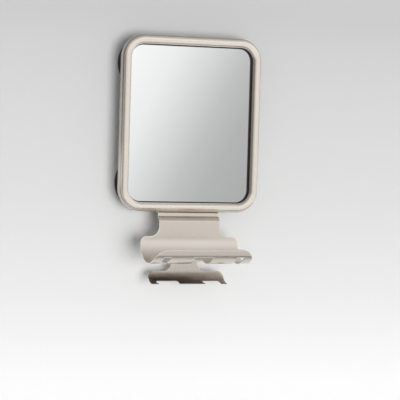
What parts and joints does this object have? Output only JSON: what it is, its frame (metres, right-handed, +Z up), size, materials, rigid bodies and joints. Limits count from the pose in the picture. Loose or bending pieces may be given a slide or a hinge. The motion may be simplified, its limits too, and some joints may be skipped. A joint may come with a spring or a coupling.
{
  "type": "fogless shower mirror with suction cups",
  "caption": "Rounded rectangular shower mirror on suction cups, with a can cradle and a razor hook hung under its frame.",
  "frame": {"origin": "on the wall plane, at the middle of the four suction cups, behind the middle of the mirror", "axes": "+Z up, +Y into the wall, +X to the right of someone facing the mirror"},
  "size_m": [0.1844, 0.0934, 0.3093],
  "materials": {
    "frame_nickel": "satin nickel plate, warm silver",
    "sheet_nickel": "satin nickel plate on bent sheet steel",
    "mirror_silver": "silvered glass with a clear anti-fog coat",
    "black_rubber": "soft satin black",
    "foam": "closed-cell foam, matt",
    "plate_plastic": "moulded, finely textured",
    "screw_steel": "bright zinc plate",
    "stud_steel": "bright nickel plate"
  },
  "bodies": {
    "wall_side": {"suction_cup_top_left": "black_rubber", "suction_cup_top_right": "black_rubber", "suction_cup_bottom_left": "black_rubber", "suction_cup_bottom_right": "black_rubber", "cup_stud_top_left": "stud_steel", "cup_stud_top_right": "stud_steel", "cup_stud_bottom_left": "stud_steel", "cup_stud_bottom_right": "stud_steel"},
    "mirror": {"frame": "frame_nickel", "mirror_glass": "mirror_silver", "glass_seal": "black_rubber", "foam_pad_left": "foam", "foam_pad_right": "foam", "back_plate": "plate_plastic", "can_cradle": "sheet_nickel", "razor_hook": "sheet_nickel", "plate_screw_1": "screw_steel", "plate_screw_2": "screw_steel", "plate_screw_3": "screw_steel", "plate_screw_4": "screw_steel", "plate_screw_5": "screw_steel", "plate_screw_6": "screw_steel", "hook_screw_1": "screw_steel", "hook_screw_2": "screw_steel", "cradle_screw_1": "screw_steel", "cradle_screw_2": "screw_steel", "cradle_screw_3": "screw_steel"}
  },
  "joints": [
    {"name": "lift_off", "type": "slide", "parent": "wall_side", "child": "mirror", "axis": [0, 0, 1], "range_m": [0, 0.0105]}
  ]
}
